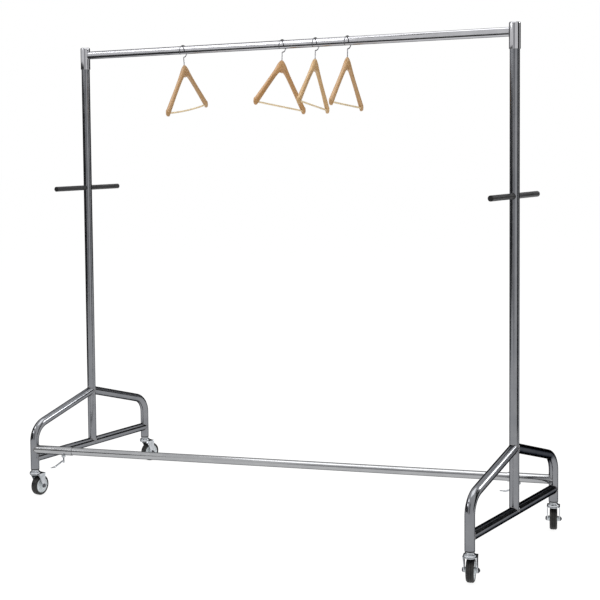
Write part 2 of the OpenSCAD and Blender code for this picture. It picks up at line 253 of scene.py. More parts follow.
def rounded_profile(corners: Sequence[Corner], steps: int = 5) -> list[tuple[float, float]]:
    """Rounds the corners of a profile.

    Args:
        corners: Radius, height and rounding radius of each corner.
        steps: How many points an arc takes.

    Returns:
        The profile's points as radius and height.
    """
    points: list[tuple[float, float]] = []
    count = len(corners)
    for index, (x, z, rounding) in enumerate(corners):
        here = Vector((x, z))
        if rounding <= 0:
            points.append((x, z))
            continue
        before = (Vector(corners[index - 1][:2]) - here).normalized()
        after = (Vector(corners[(index + 1) % count][:2]) - here).normalized()
        half = before.angle(after) / 2
        reach = rounding / math.tan(half)
        start, end = here + before * reach, here + after * reach
        for step in range(steps + 1):
            share = step / steps
            spot = start * (1 - share) ** 2 + here * 2 * share * (1 - share) + end * share**2
            points.append((spot.x, spot.y))
    return points


def hoop(centre: Vector, direction: Vector, radius: float, sides: int, first: Vector = ALONG,
         flat: float = 1.0) -> Ring:
    """A ring of points round a line.

    Args:
        centre: The ring's middle.
        direction: The line that the ring stands square to.
        radius: The ring's radius.
        sides: How many points it has.
        first: Roughly where the first point lies from the middle.
        flat: Height over width of the ring, under 1 where it is squashed.

    Returns:
        The points in order.
    """
    out = direction.normalized()
    a = (first - out * first.dot(out)).normalized()
    b = out.cross(a)
    turns = [math.tau * k / sides for k in range(sides)]
    return [centre + a * (radius * math.cos(t)) + b * (radius * flat * math.sin(t)) for t in turns]


def swept(name: str, path: Sequence[Vector], radius: float | Callable[[int], float], sides: int = 32,
          first: Vector = ALONG, shut: bool = False, capped: bool = True,
          flat: Callable[[int], float] = lambda k: 1.0) -> Piece:
    """Sweeps a circle along a path that lies in one plane or turns gently.

    Args:
        name: The new piece's name.
        path: The points that the centreline passes through.
        radius: The circle's radius, or a function of the point's number.
        sides: How many sides the circle has.
        first: A direction that is never along the path.
        shut: True where the path is a loop.
        capped: True to close the ends.
        flat: Height over width of the section at each point.

    Returns:
        The new mesh.
    """
    size = radius if callable(radius) else (lambda k: radius)
    last = len(path) - 1
    rings: list[Ring] = []
    for k, spot in enumerate(path):
        before = path[k - 1] if k > 0 or shut else spot
        after = path[(k + 1) % len(path)] if k < last or shut else spot
        rings.append(hoop(spot, after - before, size(k), sides, first, flat(k)))
    return rolled(name, rings, shut=shut, capped=capped)


def side_way(direction: Vector) -> Vector:
    """A direction square to this one, for the first point of a ring."""
    return direction.cross(UP if abs(direction.normalized().z) < 0.9 else ACROSS).normalized()


def rod(name: str, start: Vector, end: Vector, radius: float, sides: int = 64) -> Piece:
    """A solid round rod from one point to another."""
    return swept(name, [start, end], radius, sides, first=side_way(end - start))


def tube(name: str, path: Sequence[Vector], radius: float, wall: float, first: Vector | None = None,
         sides: int = 64) -> Piece:
    """A tube along a path, with open ends and a real wall.

    Args:
        name: The new piece's name.
        path: The points that the tube's axis passes through.
        radius: The tube's outside radius.
        wall: The wall's thickness.
        first: A direction that is never along the path.
        sides: How many sides the tube has.

    Returns:
        The new mesh.
    """
    piece = swept(name, path, radius, sides, first=first or side_way(path[1] - path[0]), capped=False)
    return apply_modifier(piece, "SOLIDIFY", thickness=wall, offset=-1.0)


def meeting_line(point: Vector, direction: Vector, radius: float, axis_point: Vector,
                 axis: Vector, axis_radius: float, steps: int = 56) -> list[Vector]:
    """The line where one round tube ends against another.

    Args:
        point: A point on the first tube's axis.
        direction: The first tube's direction, away from the second tube.
        radius: The first tube's radius.
        axis_point: A point on the second tube's axis.
        axis: The second tube's direction.
        axis_radius: The second tube's radius.
        steps: How many points the line has.

    Returns:
        The points in order round the first tube.
    """
    along, post = direction.normalized(), axis.normalized()
    line: list[Vector] = []
    for spot in hoop(point, along, radius, steps, first=side_way(along)):
        offset = spot - axis_point
        offset -= post * offset.dot(post)
        across = along - post * along.dot(post)
        a, b = across.length_squared, 2 * offset.dot(across)
        c = offset.length_squared - axis_radius**2
        root = math.sqrt(max(b * b - 4 * a * c, 0.0))
        line.append(spot + along * ((root - b) / (2 * a)))
    return line


def bead(name: str, line: Sequence[Vector], radius: float = 1.5 * MM,
         ripple: float = WELD_RIPPLE) -> Piece:
    """A bead along a closed line, rippled as a weld is unless the ripple is zero."""
    centre = sum(line, Vector()) / len(line)
    rings: list[Ring] = []
    for k, spot in enumerate(line):
        direction = line[(k + 1) % len(line)] - line[k - 1]
        swell = radius * (1 + ripple * math.sin(math.tau * k / RIPPLE_STEPS))
        rings.append(hoop(spot, direction, swell, BEAD_SIDES, first=spot - centre))
    return smooth(rolled(name, rings, shut=True), BEAD_ANGLE)


def copy_of(piece: Piece, name: str, place: Matrix) -> Piece:
    """A copy of a piece with its own mesh, put in place in the mesh itself."""
    only(piece)
    bpy.ops.object.duplicate(linked=False)
    twin = bpy.context.active_object
    twin.name = name
    twin.data.transform(place)
    return twin


def arc(centre: Vector, start: Vector, axis: Vector, angle: float, steps: int) -> list[Vector]:
    """Points of an arc from a start point, turning about an axis through the centre."""
    return [centre + Matrix.Rotation(angle * k / steps, 3, axis) @ (start - centre)
            for k in range(steps + 1)]


# ---- Shader groups ----


class NodeBench:
    """A small bench for laying out the nodes of a material or a group."""

    def __init__(self, tree: bpy.types.NodeTree) -> None:
        """Starts on an empty node tree."""
        self.tree = tree
        tree.nodes.clear()

    def add(self, kind: str, **values: object) -> bpy.types.Node:
        """Adds a node, and sets its properties and its inputs by name."""
        node = self.tree.nodes.new(kind)
        for key, value in values.items():
            if hasattr(node, key):
                setattr(node, key, value)
            else:
                node.inputs[key.replace("_", " ")].default_value = value
        return node

    def link(self, source: Socket, target: Socket) -> None:
        """Links two sockets."""
        self.tree.links.new(source, target)

    def noise(self, vector: Socket, scale: Socket | float,
              detail: float = 3.0, roughness: float = 0.55) -> Socket:
        """A noise pattern's value on a vector."""
        node = self.add("ShaderNodeTexNoise", Detail=detail, Roughness=roughness)
        self.link(vector, node.inputs["Vector"])
        if isinstance(scale, float):
            node.inputs["Scale"].default_value = scale
        else:
            self.link(scale, node.inputs["Scale"])
        return node.outputs["Fac"]

    def maths(self, operation: str, first: Socket | float,
              second: Socket | float, clamp: bool = False) -> Socket:
        """One arithmetic step on two values."""
        node = self.add("ShaderNodeMath", operation=operation, use_clamp=clamp)
        for socket, value in zip(node.inputs, (first, second)):
            if isinstance(value, (int, float)):
                socket.default_value = value
            else:
                self.link(value, socket)
        return node.outputs["Value"]

    def spread(self, value: Socket, low: float, high: float,
               to_low: float, to_high: float) -> Socket:
        """Maps a value from one range to another, held inside it."""
        node = self.add("ShaderNodeMapRange", clamp=True)
        self.link(value, node.inputs["Value"])
        for name, number in zip(("From Min", "From Max", "To Min", "To Max"),
                                (low, high, to_low, to_high)):
            node.inputs[name].default_value = number
        return node.outputs["Result"]

    def blend(self, mask: Socket, first: Socket | Colour, second: Socket | Colour) -> Socket:
        """Blends two colours, given or linked, by a mask."""
        node = self.add("ShaderNodeMix", data_type="RGBA")
        self.link(mask, node.inputs["Factor"])
        for socket, colour in zip((node.inputs[6], node.inputs[7]), (first, second)):
            if isinstance(colour, Socket):
                self.link(colour, socket)
            else:
                socket.default_value = (*colour, 1)
        return node.outputs[2]

    def emboss(self, shader: bpy.types.Node, height: Socket, strength: float, depth: float) -> None:
        """Raises a shader's surface by a height."""
        bump = self.add("ShaderNodeBump", Strength=strength, Distance=depth)
        self.link(height, bump.inputs["Height"])
        self.link(bump.outputs["Normal"], shader.inputs["Normal"])

    def surface(self, source: Socket) -> None:
        """Makes a shader the material's surface."""
        self.link(source, self.add("ShaderNodeOutputMaterial").inputs["Surface"])


def start_material(name: str) -> tuple[bpy.types.Material, NodeBench]:
    """A new material, and the bench that its nodes are laid out on."""
    made = bpy.data.materials.new(name)
    made.use_nodes = True
    return made, NodeBench(made.node_tree)


def make_group(name: str, inputs: dict[str, tuple[str, object]], outputs: Sequence[str],
               lay_out: Callable[[NodeBench, bpy.types.Node, bpy.types.Node], None]) -> bpy.types.NodeTree:
    """Makes a shader group once, and finds it again after that.

    Args:
        name: The group's name.
        inputs: Each input's socket type and default value.
        outputs: The names of the float outputs.
        lay_out: The function that fills the group.

    Returns:
        The group.
    """
    if name in bpy.data.node_groups:
        return bpy.data.node_groups[name]
    tree = bpy.data.node_groups.new(name, "ShaderNodeTree")
    for label, (kind, value) in inputs.items():
        socket = tree.interface.new_socket(label, in_out="INPUT", socket_type=kind)
        if kind == "NodeSocketFloat":
            socket.default_value = value
    for label in outputs:
        tree.interface.new_socket(label, in_out="OUTPUT", socket_type="NodeSocketFloat")
    bench = NodeBench(tree)
    lay_out(bench, bench.add("NodeGroupInput"), bench.add("NodeGroupOutput"))
    return tree


def mottle_group() -> bpy.types.NodeTree:
    """Soft clouds, fine speckle and a height, for metals, plastics and rubber."""

    def lay_out(bench: NodeBench, given: bpy.types.Node, result: bpy.types.Node) -> None:
        place = given.outputs["Vector"]
        clouds = bench.noise(place, given.outputs["Cloud Scale"], 4.0, 0.6)
        specks = bench.noise(place, given.outputs["Speck Scale"], 2.0, 0.7)
        bench.link(bench.spread(clouds, 0.35, 0.65, 0, 1), result.inputs["Clouds"])
        bench.link(bench.spread(specks, 0.3, 0.7, 0, 1), result.inputs["Specks"])
        both = bench.maths("MULTIPLY", clouds, 0.4)
        bench.link(bench.maths("ADD", both, specks), result.inputs["Height"])

    return make_group("Mottle", {"Vector": ("NodeSocketVector", None),
                                 "Cloud Scale": ("NodeSocketFloat", 20.0),
                                 "Speck Scale": ("NodeSocketFloat", 600.0)},
                      ("Clouds", "Specks", "Height"), lay_out)


def grain_group() -> bpy.types.NodeTree:
    """Long streaks, short flecks and a height, for wood with its grain along U."""

    def lay_out(bench: NodeBench, given: bpy.types.Node, result: bpy.types.Node) -> None:
        place = given.outputs["Vector"]
        long_way = bench.add("ShaderNodeMapping")
        long_way.inputs["Scale"].default_value = (1.4, 9.0, 1.0)
        bench.link(place, long_way.inputs["Vector"])
        fleck_way = bench.add("ShaderNodeMapping")
        fleck_way.inputs["Scale"].default_value = (26.0, 70.0, 1.0)
        bench.link(place, fleck_way.inputs["Vector"])
        streaks = bench.noise(long_way.outputs["Vector"], given.outputs["Streak Scale"], 5.0, 0.62)
        flecks = bench.noise(fleck_way.outputs["Vector"], 1.6, 1.0, 0.4)
        bench.link(bench.spread(streaks, 0.36, 0.64, 0, 1), result.inputs["Streaks"])
        bench.link(bench.spread(flecks, 0.60, 0.74, 0, 1), result.inputs["Flecks"])
        bench.link(bench.maths("ADD", streaks, bench.maths("MULTIPLY", flecks, 0.3)),
                   result.inputs["Height"])

    return make_group("Wood_Grain", {"Vector": ("NodeSocketVector", None),
                                     "Streak Scale": ("NodeSocketFloat", 2.0)},
                      ("Streaks", "Flecks", "Height"), lay_out)


# ---- Finishes ----


@dataclass(frozen=True)
class Coat:
    """What every finish has: its material's name and the name of its slot."""

    name: str
    slot: str

    def lay_out(self, bench: NodeBench) -> None:
        """Lays out the material's nodes."""
        raise NotImplementedError

    def material(self) -> bpy.types.Material:
        """Makes the material once, and finds it again after that."""
        if self.name in bpy.data.materials:
            return bpy.data.materials[self.name]
        made, bench = start_material(self.name)
        self.lay_out(bench)
        return made

    def dress(self, piece: Piece) -> None:
        """Gives a piece this finish alone."""
        piece.data.materials.clear()
        piece.data.materials.append(self.material())


@dataclass(frozen=True)
class Finish(Coat):
    """A mottled surface: plated or coated metal, plastic or rubber."""

    colour: Colour
    worn: Colour
    roughness: float
    roughness_worn: float
    metallic: float = 1.0
    gloss: float = 0.5
    cloud_scale: float = 18.0
    speck_scale: float = 700.0
    bump: float = 0.05
    bump_depth: float = 0.05 * MM
    # rim is painted shade: the colour that the base colour and the specular tint turn to as the surface
    # faces away from view, in place of dark reflections at the edges; the two facing values below set where
    # that painted shade starts and ends.
    rim: Colour | None = None
    rim_start: float = 0.45
    rim_end: float = 0.85
    cloud_share: float = 0.6
    speck_share: float = 0.4

    def lay_out(self, bench: NodeBench) -> None:
        """Mottled colour and roughness, with painted shade towards the silhouette where a rim colour is
        given.
        """
        place = bench.add("ShaderNodeTexCoord")
        mottle = bench.add("ShaderNodeGroup", node_tree=mottle_group(),
                           Cloud_Scale=self.cloud_scale, Speck_Scale=self.speck_scale)
        bench.link(place.outputs["Object"], mottle.inputs["Vector"])
        shader = bench.add("ShaderNodeBsdfPrincipled", Metallic=self.metallic,
                           Specular_IOR_Level=self.gloss)
        tint = bench.blend(mottle.outputs["Clouds"], self.colour, self.worn)
        # Painted shade: the base colour darkens to the rim colour towards the silhouette, and the specular
        # tint takes the same dark colour, standing in for dark edge reflections.
        if self.rim is not None:
            facing = bench.add("ShaderNodeLayerWeight", Blend=0.5)
            edge = bench.spread(facing.outputs["Facing"], self.rim_start, self.rim_end, 0, 1)
            tint = bench.blend(edge, tint, self.rim)
            shader.inputs["Specular Tint"].default_value = (*self.rim, 1)
        bench.link(tint, shader.inputs["Base Color"])
        mixed = bench.maths("ADD", bench.maths("MULTIPLY", mottle.outputs["Clouds"], self.cloud_share),
                            bench.maths("MULTIPLY", mottle.outputs["Specks"], self.speck_share))
        bench.link(bench.spread(mixed, 0, 1, self.roughness, self.roughness_worn),
                   shader.inputs["Roughness"])
        bench.emboss(shader, mottle.outputs["Height"], self.bump, self.bump_depth)
        bench.surface(shader.outputs["BSDF"])


@dataclass(frozen=True)
class WoodFinish(Coat):
    """Clear-lacquered wood with its grain along the piece's own U."""

    pale: Colour
    dark: Colour
    fleck: Colour
    streak_scale: float = 2.0
    fleck_share: float = 0.55
    lacquer: float = 0.35
    lacquer_roughness: float = 0.12
    roughness: float = 0.34
    roughness_dark: float = 0.46

    def lay_out(self, bench: NodeBench) -> None:
        """Streaked and flecked wood under a thin lacquer."""
        place = bench.add("ShaderNodeUVMap", uv_map="UVMap")
        grain = bench.add("ShaderNodeGroup", node_tree=grain_group(), Streak_Scale=self.streak_scale)
        bench.link(place.outputs["UV"], grain.inputs["Vector"])
        streaks = grain.outputs["Streaks"]
        base = bench.blend(streaks, self.pale, self.dark)
        flecks = bench.maths("MULTIPLY", grain.outputs["Flecks"], self.fleck_share)
        shader = bench.add("ShaderNodeBsdfPrincipled", Coat_Weight=self.lacquer,
                           Coat_Roughness=self.lacquer_roughness)
        bench.link(bench.blend(flecks, base, self.fleck), shader.inputs["Base Color"])
        bench.link(bench.spread(streaks, 0, 1, self.roughness, self.roughness_dark),
                   shader.inputs["Roughness"])
        bench.emboss(shader, grain.outputs["Height"], 0.12, 0.2 * MM)
        bench.surface(shader.outputs["BSDF"])


# The rim colours below are painted shade, laid on each piece towards its silhouette in place of dark
# reflections; on the plated wire it starts at a low facing value and darkens much of the hook.
TUBE_STEEL = Finish("Tube_Steel", "frame_steel", (0.205, 0.211, 0.226), (0.240, 0.245, 0.258),
                    0.12, 0.19, bump=0.03, rim=(0.020, 0.021, 0.024), rim_start=0.50,
                    rim_end=0.90)
RAIL_STEEL = Finish("Rail_Steel", "frame_steel", (0.36, 0.365, 0.375), (0.40, 0.405, 0.415),
                    0.10, 0.17, bump=0.03, rim=(0.022, 0.023, 0.026), rim_start=0.50,
                    rim_end=0.90)
WELD_STEEL = Finish("Weld_Steel", "frame_steel", (0.30, 0.30, 0.31), (0.14, 0.13, 0.13),
                    0.24, 0.42, cloud_scale=140.0, bump=0.25)
CHROME = Finish("Chrome_Plate", "chrome", (0.47, 0.47, 0.49), (0.42, 0.42, 0.44), 0.05, 0.10,
                bump=0.015, rim=(0.03, 0.03, 0.035), rim_start=0.40, rim_end=0.70)
ZINC = Finish("Bright_Zinc", "zinc", (0.58, 0.60, 0.63), (0.42, 0.44, 0.46), 0.14, 0.28,
              cloud_scale=60.0, bump=0.10, rim=(0.04, 0.04, 0.045))
DARK_BOLT = Finish("Dark_Zinc_Bolt", "zinc", (0.16, 0.165, 0.175), (0.10, 0.10, 0.11), 0.20, 0.34,
                   rim=(0.02, 0.02, 0.022))
HOOK_WIRE = Finish("Plated_Wire", "chrome", (0.26, 0.26, 0.27), (0.20, 0.20, 0.21), 0.08, 0.16,
                   rim=(0.02, 0.02, 0.022), rim_start=0.10, rim_end=0.50)
BALL_STEEL = Finish("Ball_Steel", "ball_steel", (0.70, 0.70, 0.72), (0.60, 0.60, 0.62), 0.08, 0.15)
BLACK_BAR = Finish("Black_Satin_Bar", "black_bar", (0.012, 0.012, 0.013), (0.022, 0.022, 0.024),
                   0.34, 0.48, metallic=0.0, gloss=0.35, speck_scale=1400.0, bump=0.15)
BLACK_PLASTIC = Finish("Black_Moulding", "black_plastic", (0.010, 0.010, 0.010),
                       (0.020, 0.020, 0.021), 0.38, 0.55, metallic=0.0, gloss=0.2,
                       speck_scale=1800.0, bump=0.2)
HUB_PLASTIC = Finish("Grey_Hub_Moulding", "hub_plastic", (0.66, 0.70, 0.72), (0.56, 0.60, 0.62),
                     0.34, 0.48, metallic=0.0, cloud_scale=45.0, bump=0.08)
RUBBER = Finish("Tyre_Rubber", "tyre", (0.010, 0.010, 0.011), (0.035, 0.034, 0.032), 0.42, 0.68,
                metallic=0.0, gloss=0.3, cloud_scale=70.0, speck_scale=1500.0, bump=0.35,
                bump_depth=0.1 * MM)
HANGER_WOODS = (
    WoodFinish("Beech_Warm", "hanger_wood", (0.44, 0.264, 0.11), (0.334, 0.176, 0.063),
               (0.238, 0.114, 0.04), 2.0),
    WoodFinish("Beech_Tan", "hanger_wood", (0.475, 0.264, 0.092), (0.37, 0.18, 0.055),
               (0.246, 0.114, 0.04), 2.4),
    WoodFinish("Beech_Pale", "hanger_wood", (0.546, 0.352, 0.154), (0.44, 0.255, 0.092),
               (0.317, 0.167, 0.062), 1.7),
    WoodFinish("Beech_Honey", "hanger_wood", (0.475, 0.286, 0.114), (0.378, 0.198, 0.069),
               (0.273, 0.136, 0.044), 2.2),
)
DOWEL_WOOD = WoodFinish("Pale_Dowel", "hanger_bar", (0.76, 0.62, 0.38), (0.62, 0.46, 0.24),
                        (0.45, 0.31, 0.15), 3.0)


@dataclass
class Rack:
    """What all the sub-assemblies share: where things stand, and how a piece is handed over."""

    joints: dict[str, dict] = field(default_factory=lambda: {j["name"]: j for j in frame["joints"]})

    def spot(self, joint: str) -> Vector:
        """Where a joint's axis passes."""
        return Vector(self.joints[joint]["pos_m"])

    def axis(self, joint: str) -> Vector:
        """The direction of a joint's axis."""
        return Vector(self.joints[joint]["axis"])

    def hand_over(self, piece: Piece, finish: Coat, body: str, *nodes: str) -> Piece:
        """Dresses a piece, puts it on its body and lets it stand for construction nodes.

        Args:
            piece: The finished mesh.
            finish: Its finish.
            body: The body that it moves with.
            nodes: The construction nodes that it stands for.

        Returns:
            The same piece.
        """
        finish.dress(piece)
        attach(piece, body)
        if nodes:
            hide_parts(*nodes)
        LOG.info("%s rides on %s, %d faces", piece.name, body, len(piece.data.polygons))
        return piece

    def weld(self, name: str, line: Sequence[Vector]) -> None:
        """Lays a steel weld bead along a line of the frame."""
        self.hand_over(bead(name, line), WELD_STEEL, "frame")


# ---- End frames ----


@dataclass
class EndFrame:
    """One welded end frame: post, two bent legs, crossbar, push bar and its caps."""

    rack: Rack
    side: Side
    tube_wall: float = 1.8 * MM
    bend_radius: float = 70 * MM
    bend_rise: float = 115 * MM
    shoulder_rise: float = 206 * MM
    bar_wall: float = 1.5 * MM
    bar_fillet: float = 0.9 * MM
    cap_length: float = 3 * MM
    plug_length: float = 15 * MM
    bend_steps: int = 18

    def __post_init__(self) -> None:
        """Reads the frame's places from the construction model."""
        low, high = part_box(f"{self.side.word}_post")
        self.post_x = (low.x + high.x) / 2
        self.radius = (high.x - low.x) / 2
        self.post_top = high.z
        cross_low, cross_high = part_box(f"{self.side.word}_crossbar")
        self.cross_z = (cross_low.z + cross_high.z) / 2
        self.leg_y = self.rack.spot(f"{self.side.word}_rear_swivel_turn").y
        self.leg_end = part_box(f"{self.side.word}_front_leg")[0].z
        bar_low, bar_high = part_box(f"{self.side.word}_push_bar")
        self.bar_z = (bar_low.z + bar_high.z) / 2
        self.bar_radius = (bar_high.z - bar_low.z) / 2
        self.bar_y = bar_high.y
        self.slope = math.atan((self.shoulder_rise - self.bend_rise) / self.leg_y)

    def leg_path(self, row: Row) -> list[Vector]:
        """The axis of a leg, from the caster up round the bend to the post's axis."""
        turn = math.pi / 2 - self.slope
        tangent = self.bend_radius * math.tan(turn / 2)
        bend_z = self.cross_z + self.bend_rise
        foot = Vector((self.post_x, row.value * self.leg_y, self.leg_end))
        start = Vector((self.post_x, foot.y, bend_z - tangent))
        centre = start - ACROSS * (row.value * self.bend_radius)
        bend = arc(centre, start, ALONG, row.value * turn, self.bend_steps)
        return [foot, *bend, Vector((self.post_x, 0, self.cross_z + self.shoulder_rise))]

    def cutter(self, middle: Vector, direction: Vector, reach: float, radius: float) -> Piece:
        """A solid rod that clears a tube by the weld gap."""
        return rod("cutter", middle - direction * reach, middle + direction * reach, radius + WELD_GAP)

    def build_post(self) -> None:
        """The post, coped over the crossbar and drilled for the push bar."""
        foot = Vector((self.post_x, 0, self.cross_z))
        post = tube(f"{self.side.word}_post_tube", [foot, Vector((self.post_x, 0, self.post_top))],
                    self.radius, self.tube_wall)
        bar = Vector((self.post_x, 0, self.bar_z))
        cut(post, self.cutter(foot, ACROSS, 3 * self.radius, self.radius),
            self.cutter(bar, ACROSS, 3 * self.radius, self.bar_radius))
        self.rack.hand_over(smooth(post), TUBE_STEEL, "frame", f"{self.side.word}_post")
        self.rack.weld(f"{self.side.word}_post_weld",
                       meeting_line(foot, UP, self.radius, foot, ACROSS, self.radius))

    def build_leg(self, row: Row) -> None:
        """A bent leg, coped against the post, with its weld."""
        name = f"{self.side.word}_{row.word}_leg"
        path = self.leg_path(row)
        leg = tube(f"{name}_tube", path, self.radius, self.tube_wall, first=ALONG)
        shoulder = path[-1]
        cut(leg, self.cutter(shoulder, UP, 6 * self.radius, self.radius))
        self.rack.hand_over(smooth(leg), TUBE_STEEL, "frame", name)
        self.rack.weld(f"{name}_weld", meeting_line(shoulder, path[-2] - shoulder, self.radius,
                                                    shoulder, UP, self.radius))

    def build_crossbar(self) -> None:
        """The crossbar between the legs, coped at both ends, with its welds."""
        name = f"{self.side.word}_crossbar"
        ends = [Vector((self.post_x, y, self.cross_z)) for y in (-self.leg_y, self.leg_y)]
        bar = tube(f"{name}_tube", ends, self.radius, self.tube_wall)
        cut(bar, *[self.cutter(end, UP, 3 * self.radius, self.radius) for end in ends])
        self.rack.hand_over(smooth(bar), TUBE_STEEL, "frame", name)
        for row, end in zip(Row, ends):
            line = meeting_line(end, -ACROSS * row.value, self.radius, end, UP, self.radius)
            self.rack.weld(f"{name}_{row.word}_weld", line)

    def build_push_bar(self) -> None:
        """The push bar through the post, with a fillet of weld on both sides."""
        name = f"{self.side.word}_push_bar"
        centre = Vector((self.post_x, 0, self.bar_z))
        bar = tube(f"{name}_tube", [centre - ACROSS * self.bar_y, centre + ACROSS * self.bar_y],
                   self.bar_radius, self.bar_wall)
        self.rack.hand_over(smooth(bar), BLACK_BAR, "frame", name)
        for row in Row:
            line = meeting_line(centre, ACROSS * row.value, self.bar_radius, centre, UP, self.radius)
            fillet = bead(f"{name}_{row.word}_weld", line, self.bar_fillet)
            self.rack.hand_over(fillet, BLACK_BAR, "frame")

    def build_cap(self, row: Row) -> Piece:
        """One end cap: a rounded button, a shadow groove and the plug inside the bar."""
        plug = self.bar_radius - self.bar_wall - 0.1 * MM
        face = self.bar_radius
        profile = rounded_profile([
            (0, self.cap_length, 0), (face, self.cap_length, 1.6 * MM), (face, 0.5 * MM, 0.2 * MM),
            (face - 0.7 * MM, 0.4 * MM, 0), (face - 0.7 * MM, 0.05 * MM, 0), (plug, 0.05 * MM, 0),
            (plug, -self.plug_length, 0.5 * MM), (plug - 1.5 * MM, -self.plug_length, 0),
            (plug - 1.5 * MM, -2 * MM, 0),
            (0, -2 * MM, 0)])
        cap = spun(f"{self.side.word}_{row.word}_bar_cap", profile, 48)
        place = Matrix.Translation((self.post_x, row.value * self.bar_y, self.bar_z))
        cap.data.transform(place @ Matrix.Rotation(-row.value * math.pi / 2, 4, "X"))
        return smooth(cap)

    def build(self) -> None:
        """Builds the whole end frame."""
        self.build_post()
        for row in Row:
            self.build_leg(row)
        self.build_crossbar()
        self.build_push_bar()
        for row in Row:
            self.rack.hand_over(self.build_cap(row), BLACK_PLASTIC, "frame", "push_bar_caps")


# ---- Lower rail ----


@dataclass
class LowerRail:
    """The diagonal lower rail, the two sleeves that take it and their clamp screws."""

    rack: Rack
    tube_wall: float = 1.5 * MM
    sleeve_wall: float = 1.6 * MM
    slide_gap: float = 0.3 * MM
    rail_radius: float = 14 * MM
    sleeve_length: float = 155 * MM
    end_gap: float = 10 * MM
    leg_radius: float = 16 * MM
    witness_radius: float = 4.5 * MM
    witness_edge: float = 14 * MM
    screw_radius: float = 3 * MM
    screw_arm: float = 64 * MM
    screw_bend: float = 7 * MM
    tip_length: float = 12 * MM
    thread_pitch: float = 1.0 * MM
    thread_length: float = 26 * MM
    thread_depth: float = 0.45 * MM
    tip_thickness: float = 1.5 * MM
    nut_radius: float = 7.5 * MM
    nut_overlap: float = 1.5 * MM
    screw_turns: tuple[float, float] = (267, 194)

    def __post_init__(self) -> None:
        """Reads the rail's ends from the construction model."""
        low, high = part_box("lower_rail")
        self.axis_z = (low.z + high.z) / 2
        self.legs = {side: self.corner(side) for side in Side}
        self.along = (self.legs[Side.RIGHT] - self.legs[Side.LEFT]).normalized()
        self.sleeve_radius = self.rail_radius + self.slide_gap + self.sleeve_wall

    def corner(self, side: Side) -> Vector:
        """The axis of the leg that carries a sleeve, at the rail's height."""
        row = Row.FRONT if side is Side.LEFT else Row.REAR
        place = self.rack.spot(f"{side.word}_{row.word}_swivel_turn")
        return Vector((place.x, place.y, self.axis_z))

    def build_rail(self) -> None:
        """The rail itself."""
        inset = self.along * (self.leg_radius + self.end_gap)
        ends = [self.legs[Side.LEFT] + inset, self.legs[Side.RIGHT] - inset]
        rail = tube("lower_rail_tube", ends, self.rail_radius, self.tube_wall)
        self.rack.hand_over(smooth(rail), RAIL_STEEL, "frame", "lower_rail")

    def build_sleeve(self, side: Side) -> None:
        """A sleeve, coped against its leg, with its witness hole and screw hole."""
        inward = self.along * -side.value
        start = self.legs[side]
        sleeve = tube(f"{side.word}_sleeve_tube", [start, start + inward * self.sleeve_length],
                      self.sleeve_radius, self.sleeve_wall)
        witness = start + inward * (self.sleeve_length - self.witness_edge)
        screw = self.rack.spot(f"{side.word}_clamp_turn")
        reach = UP * (2 * self.sleeve_radius)
        cut(sleeve,
            rod("cutter", start - reach, start + reach, self.leg_radius + WELD_GAP),
            rod("cutter", witness, witness + reach, self.witness_radius, 32),
            rod("cutter", Vector((screw.x, screw.y, self.axis_z)) - reach,
                Vector((screw.x, screw.y, self.axis_z)), self.screw_radius, 32))
        self.rack.hand_over(smooth(sleeve), RAIL_STEEL, "frame", f"{side.word}_rail_sleeve")
        line = meeting_line(start, inward, self.sleeve_radius, start, UP, self.leg_radius)
        self.rack.weld(f"{side.word}_sleeve_weld", line)

    def build_nut(self, side: Side) -> None:
        """A chamfered hexagon nut welded under the sleeve."""
        screw = self.rack.spot(f"{side.word}_clamp_turn")
        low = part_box("clamp_nuts")[0].z
        top = self.axis_z - self.sleeve_radius + self.nut_overlap
        nut = hexagon(f"{side.word}_clamp_nut", Vector((screw.x, screw.y, (top + low) / 2)),
                      self.nut_radius, top - low)
        bore = [Vector((screw.x, screw.y, z)) for z in (low - 1 * MM, top + 1 * MM)]
        over_rail = [self.legs[side], self.legs[side] - self.along * (side.value * self.sleeve_length)]
        cut(nut, rod("cutter", *bore, self.screw_radius + 0.2 * MM, 32),
            rod("cutter", *over_rail, self.sleeve_radius + WELD_GAP))
        bevelled(nut, 0.7 * MM)
        self.rack.hand_over(smooth(nut, math.radians(25)), ZINC, "frame", "clamp_nuts")

    def build_screw(self, side: Side) -> None:
        """A bent clamp screw: threaded shank, arm and flattened end."""
        node = f"{side.word}_clamp_screw"
        low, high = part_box(node)
        place = self.rack.spot(f"{side.word}_clamp_turn")
        arm_z = low.z + self.screw_radius
        turned = math.radians(self.screw_turns[0 if side is Side.LEFT else 1])
        out = Vector((math.cos(turned), math.sin(turned), 0))
        top = Vector((place.x, place.y, high.z))
        threads = int(self.thread_length / self.thread_pitch) * 2
        shank = [top - UP * (self.thread_length * k / threads) for k in range(threads + 1)]
        corner = Vector((place.x, place.y, arm_z))
        start = corner + UP * self.screw_bend
        centre = start + out * self.screw_bend
        bend = arc(centre, start, out.cross(UP), -math.pi / 2, 8)
        flat_start = self.screw_arm - self.tip_length
        arm = [corner + out * (flat_start - 8 * MM), corner + out * (flat_start - 3 * MM),
               corner + out * (flat_start + 2 * MM), corner + out * (self.screw_arm - 1 * MM),
               corner + out * self.screw_arm]
        path = shank + bend + arm
        count = len(path)
        wide = {count - 3: 4.2 * MM, count - 2: 4.5 * MM, count - 1: 3.6 * MM}

        def radius(k: int) -> float:
            """The section's half width at a point of the path."""
            if k <= threads:
                return self.screw_radius - (self.thread_depth if k % 2 else 0)
            return wide.get(k, self.screw_radius)

        def flat(k: int) -> float:
            """The section's height over its width at a point of the path."""
            return self.tip_thickness / wide[k] if k in wide else 1.0

